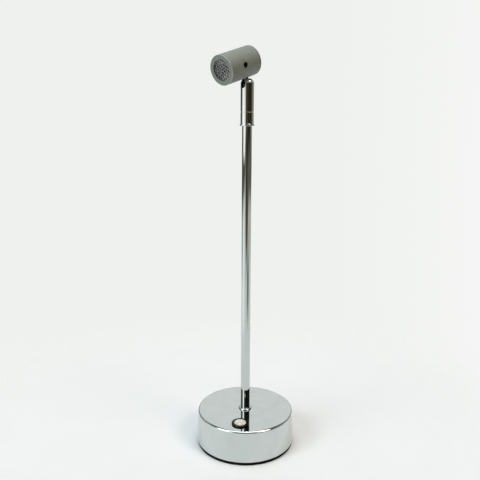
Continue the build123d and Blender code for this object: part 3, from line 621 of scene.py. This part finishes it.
# ---------------------------------------------------------------------------------------------------
# Light engine. An aluminium slug fills the head and takes the heat from a round white board with one
# small LED, held by two screws. A black holder centres the lens over it.
# ---------------------------------------------------------------------------------------------------

# Bare turned aluminium: pale, bright metal.
bare = plain("Aluminium_turned_bare", "#B3B7BA", "#C6CACD", 0.5, 0.01, Metallic=1.0, Roughness=0.3)
dressed(bare, "heat_slug")
# White solder mask: warm white with a low shine.
white_mask = plain("Solder_mask_white", "#D8D8D2", "#E8E8E3", 1.2, 0.01, Roughness=0.35)
dressed(white_mask, "led_board")
# Phosphor under clear silicone: yellow and glossy.
phosphor = plain(
    "Phosphor_yellow_silicone", "#C7A936", "#E0C85A", 0.4, 0.01, Roughness=0.2, Coat_Weight=0.8)
dressed(phosphor, "led_emitter")
dressed(black_abs, "lens_holder")
dressed(zinc, "led_screws")
dressed(wire_red, "head_leads")


# ---------------------------------------------------------------------------------------------------
# Lens. A collimator moulded in clear acrylic: a tapered body over the LED, and a front face of small
# pillows that soften the beam.
# ---------------------------------------------------------------------------------------------------

LENS_RADIUS, LENS_REST, LENS_TIP = 12.15, 27.5, 18.2
LENS_WAIST, LENS_TIP_RADIUS, LED_WELL_RADIUS, LED_WELL = 10.55, 4.2, 2.2, 3.0
FACE_SETBACK, FACE_RINGS, LENS_STEPS = 0.05, 90, 320
PILLOW, PILLOW_HEIGHT, PILLOW_REACH, FACE_ABOVE = 3.0, 0.7, 11.5, 28.0
CELL_MIDDLE, CELL_CORNER = 3.0, -1.5  # what honeycomb gives there
CREASE_SPAN = (-1.25, -0.8)


def honeycomb(tree, where, pitch):
    """Three crossed waves, highest in the middle of each cell of a honeycomb, lowest where cells meet."""
    values, links = {0: 4 * math.pi / math.sqrt(3)}, {}
    (values if isinstance(pitch, float) else links)[1] = pitch
    rate = add(tree, "ShaderNodeMath", {"operation": "DIVIDE"}, values, links).outputs[0]
    total = None
    for angle in (0, 120, 240):
        aim = {1: (math.cos(math.radians(angle)), math.sin(math.radians(angle)), 0)}
        along = add(tree, "ShaderNodeVectorMath", {"operation": "DOT_PRODUCT"}, aim, {0: where})
        links = {0: along.outputs["Value"], 1: rate}
        phase = add(tree, "ShaderNodeMath", {"operation": "MULTIPLY"}, links=links).outputs[0]
        wave = add(tree, "ShaderNodeMath", {"operation": "COSINE"}, links={0: phase}).outputs[0]
        if total:
            wave = add(tree, "ShaderNodeMath", {"operation": "ADD"}, links={0: total, 1: wave}).outputs[0]
        total = wave
    return total


# Clear moulded acrylic, faintly smoky in the depth; the creases between the pillows are frosted and
# catch the light. The real cells, about 1.5 mm across, are too fine to show and are drawn twice as wide.
acrylic, tree, shader, coords = new_material("Acrylic_clear_moulded", IOR=1.49)
cells = honeycomb(tree, along_head(tree, coords), PILLOW * MM)
tree.links.new(tint(tree, cells, "#D0D4D3", "#A6A9A8", CREASE_SPAN), shader.inputs["Base Color"])
tree.links.new(between(tree, cells, 0.3, 1.0, CREASE_SPAN), shader.inputs["Transmission Weight"])
tree.links.new(between(tree, cells, 0.4, 0.02, CREASE_SPAN), shader.inputs["Roughness"])

face_height = LENS_FRONT - PILLOW_HEIGHT - FACE_SETBACK
lens_outline = [(LENS_RADIUS * k / FACE_RINGS, face_height) for k in range(FACE_RINGS)]
lens_outline += [
    (LENS_RADIUS, LENS_FRONT - FACE_SETBACK),
    (LENS_RADIUS, LENS_REST),
    (LENS_WAIST, LENS_REST),
    (LENS_TIP_RADIUS, LENS_TIP),
    (LED_WELL_RADIUS, LENS_TIP),
    (LED_WELL_RADIUS, LENS_TIP + LED_WELL),
    (0, LENS_TIP + LED_WELL),
]
lens = turned("Lens", lens_outline, steps=LENS_STEPS)

# The tree lifts the points of the face into pillows, up to its reach.
pillows = bpy.data.node_groups.new("Lens_pillows", "GeometryNodeTree")
inputs = {"Geometry": "Geometry", "Pitch": "Float", "Height": "Float", "Reach": "Float"}
inputs["Material"] = "Material"
for title, kind in inputs.items():
    pillows.interface.new_socket(title, in_out="INPUT", socket_type="NodeSocket" + kind)
pillows.interface.new_socket("Geometry", in_out="OUTPUT", socket_type="NodeSocketGeometry")
given = add(pillows, "NodeGroupInput").outputs
where = add(pillows, "GeometryNodeInputPosition").outputs[0]
values = {"From Min": CELL_CORNER, "From Max": CELL_MIDDLE, "To Min": 0.0}
links = {"Value": honeycomb(pillows, where, given["Pitch"]), "To Max": given["Height"]}
rise = add(pillows, "ShaderNodeMapRange", values=values, links=links)
lift = add(pillows, "ShaderNodeCombineXYZ", links={"Z": rise.outputs[0]})
out, along = out_and_along(pillows, where)
inside = add(pillows, "FunctionNodeCompare", {"operation": "LESS_THAN"}, links={0: out, 1: given["Reach"]})
values = {1: FACE_ABOVE * MM}
facing = add(pillows, "FunctionNodeCompare", {"operation": "GREATER_THAN"}, values, {0: along})
chosen = add(pillows, "FunctionNodeBooleanMath", links={0: inside.outputs[0], 1: facing.outputs[0]})
links = {"Geometry": given["Geometry"], "Selection": chosen.outputs[0], "Offset": lift.outputs[0]}
moved = add(pillows, "GeometryNodeSetPosition", links=links)
real = add(pillows, "GeometryNodeRealizeInstances", links={0: moved.outputs[0]})
links = {"Geometry": real.outputs[0], "Material": given["Material"]}
painted = add(pillows, "GeometryNodeSetMaterial", links=links)
add(pillows, "NodeGroupOutput", links={0: painted.outputs[0]})

sizes = {"Pitch": PILLOW * MM, "Height": PILLOW_HEIGHT * MM, "Reach": PILLOW_REACH * MM}
sizes["Material"] = acrylic
step = lens.modifiers.new("pillows", "NODES")
step.node_group = pillows
for item in pillows.interface.items_tree:
    if item.in_out == "INPUT" and item.name in sizes:
        step[item.identifier] = sizes[item.name]
bpy.context.view_layer.update()
lens_mesh = bpy.data.meshes.new_from_object(lens.evaluated_get(bpy.context.evaluated_depsgraph_get()))
lens.modifiers.clear()
lens.data = lens_mesh
lens.data.transform(head_place)
fitted(lens, acrylic, "head", "clear_lens", "lens")


# ---------------------------------------------------------------------------------------------------
# Studio. A pale table sweep and backdrop, a broad light overhead, a window and a cool lamp on the left
# and a warm lamp on the right. The camera's side of the room is dark, which gives the mirror plate its
# stripes. The floor is paper; the rest is painted on the world by bearing and height.
# ---------------------------------------------------------------------------------------------------

CAMERA_AT, CAMERA_LENS, SENSOR = (394.49, -423.31, 352.1), 44.24, 36.0
CAMERA_TURN, CAMERA_DOWN, CAMERA_ROLL = 43.61, 12.77, 0.254  # degrees
CAMERA_SIDE = 42.98  # bearing of the camera, degrees from -Y towards +X
FLOOR_RINGS, FLOOR_FADE = (0, 150, 300, 520), (150, 460)
PALE, GAP = "#F0F2F0", "#5C574B"
# Degrees above the horizon, between which one band of the room gives way to the next.
GAP_TO_HORIZON, HORIZON_TO_WINDOW, WINDOW_TO_CANOPY = (-5.6, -4.2), (4, 16), (43, 50)
WALLS_FROM, WALLS_TO = (9, 14), (41, 37)
TABLE_EDGE, TABLE_EDGE_BLUR, UNDER_TABLE = -15.0, (-2.5, 1), -8.0
FOOT_FADE, FOOT_SHARE = (-20, -29), 0.8
RIGHT_FADE = (0.14, 0.36)  # sideways part of the view's direction
FIRST_REFLECTION = 2.5  # the world counts a ray one bounce further than a surface does

camera = bpy.data.objects.new("Camera", bpy.data.cameras.new("Camera"))
bpy.context.scene.collection.objects.link(camera)
camera.data.lens, camera.data.sensor_width = CAMERA_LENS, SENSOR
camera.data.clip_start = 0.01
aimed = about("Z", CAMERA_TURN) @ about("X", 90 - CAMERA_DOWN)
camera.matrix_world = at(*CAMERA_AT) @ aimed @ about("Z", CAMERA_ROLL)
bpy.context.scene.camera = camera

# Pale paper: matt and even; it thins out into the backdrop so that no edge shows.
paper, tree, shader, coords = new_material("Paper_sweep_pale", Roughness=0.9, Specular_IOR_Level=0.1)
tree.links.new(tint(tree, speckle(tree, coords, 60), "#EDF0F0", "#EFF2F2"), shader.inputs["Base Color"])
away = add(tree, "ShaderNodeVectorMath", {"operation": "LENGTH"}, links={0: coords}).outputs["Value"]
values = {"From Min": FLOOR_FADE[0] * MM, "From Max": FLOOR_FADE[1] * MM}
thin = add(tree, "ShaderNodeMapRange", {"interpolation_type": "SMOOTHSTEP"}, values, {"Value": away})
clear = add(tree, "ShaderNodeBsdfTransparent")
links = {0: thin.outputs[0], 1: shader.outputs[0], 2: clear.outputs[0]}
faded = add(tree, "ShaderNodeMixShader", links=links)
surface = next(n for n in tree.nodes if n.type == "OUTPUT_MATERIAL").inputs["Surface"]
tree.links.new(faded.outputs[0], surface)
floor = turned("Floor", [(radius, 0) for radius in FLOOR_RINGS], steps=96)
floor.data.materials.append(paper)

world = bpy.data.worlds.new("Studio")
bpy.context.scene.world = world
world.use_nodes = True
sky = world.node_tree
sky.nodes.clear()
aim = add(sky, "ShaderNodeTexCoord").outputs["Generated"]
values = {"Angle": -math.radians(CAMERA_SIDE)}
spun = add(sky, "ShaderNodeVectorRotate", {"rotation_type": "Z_AXIS"}, values, {"Vector": aim}).outputs[0]
split = add(sky, "ShaderNodeSeparateXYZ", links={0: spun}).outputs
# Degrees round from the camera's side, positive to its right, and degrees above the horizon.
toward = add(sky, "ShaderNodeMath", {"operation": "MULTIPLY"}, {1: -1.0}, {0: split["Y"]})
around = add(sky, "ShaderNodeMath", {"operation": "ARCTAN2"}, links={0: split["X"], 1: toward.outputs[0]})
around = add(sky, "ShaderNodeMath", {"operation": "DEGREES"}, links={0: around.outputs[0]}).outputs[0]
above = add(sky, "ShaderNodeMath", {"operation": "ARCSINE"}, links={0: split["Z"]})
above = add(sky, "ShaderNodeMath", {"operation": "DEGREES"}, links={0: above.outputs[0]}).outputs[0]


def lit(code, strength=1.0):
    """The light of a hex code at a strength."""
    return tuple(c * strength for c in linear(code))


def ring(stops):
    """Light round the room: (degrees from the camera's side, colour[, strength]) stops."""
    ramp = add(sky, "ShaderNodeValToRGB", links={0: between(sky, around, 0.0, 1.0, (-180.0, 180.0))})
    band = ramp.color_ramp.elements
    while len(band) > 1:
        band.remove(band[-1])
    for i, (degrees, *light) in enumerate(stops):
        item = band[0] if i == 0 else band.new((degrees + 180) / 360)
        item.position = (degrees + 180) / 360
        item.color = lit(*light)[:3] + (1.0,)
    return ramp.outputs[0]


def mixed(factor, first, second):
    """The first light where the factor is 0, the second where it is 1; a light is a socket or a colour."""
    values = {key: light for key, light in ((MIX_A, first), (MIX_B, second)) if isinstance(light, tuple)}
    links = {key: light for key, light in ((MIX_A, first), (MIX_B, second)) if key not in values}
    links["Factor"] = factor
    return add(sky, "ShaderNodeMix", {"data_type": "RGBA"}, values, links).outputs[MIX_COLOUR]


def share(value, span, most=1.0):
    """From 0 to the most as a value crosses its span."""
    return between(sky, value, 0.0, most, span)


def spot(room, bearing, height, size, code, strength=1.0, soft=4):
    """Lays a round patch over the room: its bearing, height and half width in degrees, and its light."""
    side, up = math.radians(bearing), math.radians(height)
    place = {1: (math.sin(side) * math.cos(up), -math.cos(side) * math.cos(up), math.sin(up))}
    near = add(sky, "ShaderNodeVectorMath", {"operation": "DOT_PRODUCT"}, place, {0: spun})
    span = (math.cos(math.radians(size + soft)), math.cos(math.radians(size - soft)))
    return mixed(share(near.outputs["Value"], span), room, lit(code, strength))


def panel(room, bearings, heights, code, strength=1.0, soft=2.0):
    """Lays a soft-edged panel over the room: its bearings and heights in degrees, and its light."""
    inside = None
    for value, (low, high) in ((around, bearings), (above, heights)):
        for span in ((low - soft, low + soft), (high + soft, high - soft)):
            part = share(value, span)
            if inside:
                links = {0: inside, 1: part}
                part = add(sky, "ShaderNodeMath", {"operation": "MINIMUM"}, links=links).outputs[0]
            inside = part
    return mixed(inside, room, lit(code, strength))


# Round the room at table height: teal wall behind left, window light on the left, the dark camera side,
# and a warm grey wall on the right.
horizon = ring([
    (-180, PALE), (-177, PALE), (-172, "#283A42"), (-106, "#30444C"), (-98, "#E0DCD0"),
    (-82, "#FFFFFA", 1.25), (-60, "#FFFDF4", 1.7), (-42, "#FFF6E4", 1.2), (-24, "#CFC8CC", 0.9),
    (-18, "#2A2020"), (-2, "#332A26"), (6, "#62564A"), (16, "#332F28"), (68, "#2F2B24"),
    (86, "#5C5547"), (112, "#A09C88"), (140, "#A4A292"), (160, "#8E8C7E"), (172, PALE),
])
# Higher up only the window light and the backdrop are bright.
upper = ring([
    (-180, PALE), (-150, PALE), (-140, "#5E6A6A"), (-70, "#565E5C"), (-64, "#F8FFFA", 2.0),
    (-34, "#F8FFFA", 2.0), (-28, "#3C403C"), (30, "#1A1B1A"), (100, "#1C1B1A"), (140, "#4C4A46"),
    (152, PALE), (180, PALE),
])
# Lighter walls all round above the horizon, seen only in a first reflection, so that the drum's top
# isn't black from behind and what it mirrors of the pole stays dark.
walls = ring([
    (-180, PALE), (-152, PALE), (-142, "#B0B5B4"), (-72, "#AAAFAD"), (-64, "#F8FFFA", 2.0),
    (-34, "#F8FFFA", 2.0), (-28, "#B4B8B5"), (30, "#AEB1AE"), (90, "#AAAAA6"), (140, "#B6B6B0"),
    (152, PALE), (180, PALE),
])
# How far down the table's edge lies: lowest towards the camera, where somebody stands.
depths = {-180: 0.5, -123: 0.74, -56: 0.47, -30: 0.45, -10: 0.9, 20: 1.0, 42: 0.65, 67: 0.55, 110: 0.63,
          150: 0.35, 180: 0.25}
edge = ring([(bearing, "#FFFFFF", depth) for bearing, depth in depths.items()])

room = mixed(share(above, GAP_TO_HORIZON), lit(GAP), horizon)
room = mixed(share(above, HORIZON_TO_WINDOW), room, upper)
room = mixed(share(above, WINDOW_TO_CANOPY), room, lit("#363936"))
ray = add(sky, "ShaderNodeLightPath").outputs
values = {1: FIRST_REFLECTION}
mirrored = add(sky, "ShaderNodeMath", {"operation": "LESS_THAN"}, values, {0: ray["Ray Depth"]})
for factor in (ray["Is Glossy Ray"], share(above, WALLS_FROM), share(above, WALLS_TO)):
    links = {0: mirrored.outputs[0], 1: factor}
    mirrored = add(sky, "ShaderNodeMath", {"operation": "MULTIPLY"}, links=links)
room = mixed(mirrored.outputs[0], room, walls)
room = spot(room, 0, 90, 22, "#F8FAFF", 3.0)
room = spot(room, -62, 44, 10, "#E9F4FF", 8.0)
room = spot(room, 56, 49, 11, "#FFEEDA", 8.5)
start = add(sky, "ShaderNodeMath", {"operation": "MULTIPLY"}, {1: TABLE_EDGE}, {0: edge}).outputs[0]
over = add(sky, "ShaderNodeMath", {"operation": "SUBTRACT"}, links={0: above, 1: start}).outputs[0]
room = mixed(share(over, TABLE_EDGE_BLUR), lit(PALE), room)
# Under the table's edge: a teal chair behind left, a brown one by the window, a dark stand in the middle
# and a grey wall on the right.
room = panel(room, (-165, -104), (-9.0, -4.5), "#42525A")
room = panel(room, (-41, -16), (-6.0, -2.8), "#4C4038", soft=1.0)
room = panel(room, (-14, 8), (-9.6, -4.5), "#33261F")
room = panel(room, (30, 125), (-8.0, -3.8), "#716B5B", soft=1.5)
# On the table: the window's sheen on the left, a bluish shade behind it, and dull things on the right.
room = panel(room, (-94, -36), (-50, -11.0), "#F6FFFF", 1.22, soft=3.0)
room = panel(room, (-150, -100), (-15.5, -10.0), "#9CA8AA")
room = panel(room, (38, 130), (-14.0, -9.3), "#CCCBBE")
room = panel(room, (22, 70), (-20.5, -14.2), "#908E86")
room = spot(room, -26, -10, 6, "#A3A49E")
# From below, matt surfaces get only the dull light of the gap under the table.
dim = add(sky, "ShaderNodeMath", {"operation": "LESS_THAN"}, {1: UNDER_TABLE}, {0: above}).outputs[0]
dim = add(sky, "ShaderNodeMath", {"operation": "MULTIPLY"}, links={0: dim, 1: ray["Is Diffuse Ray"]})
room = mixed(dim.outputs[0], room, lit(GAP))
# Straight ahead, and through the lens, an even backdrop, a touch lighter at its right and at its foot.
links = {0: share(above, FOOT_FADE, FOOT_SHARE), 1: share(split["X"], RIGHT_FADE)}
lighter = add(sky, "ShaderNodeMath", {"operation": "MAXIMUM"}, links=links)
sweep = mixed(lighter.outputs[0], lit("#EFF1EE"), lit("#F4F5F4"))
links = {0: ray["Is Camera Ray"], 1: ray["Is Transmission Ray"]}
seen = add(sky, "ShaderNodeMath", {"operation": "MAXIMUM"}, links=links)
whole = mixed(seen.outputs[0], room, sweep)
light = add(sky, "ShaderNodeBackground", values={"Strength": 1.0}, links={"Color": whole})
add(sky, "ShaderNodeOutputWorld", links={"Surface": light.outputs[0]})

bpy.context.scene.view_settings.view_transform = "Standard"
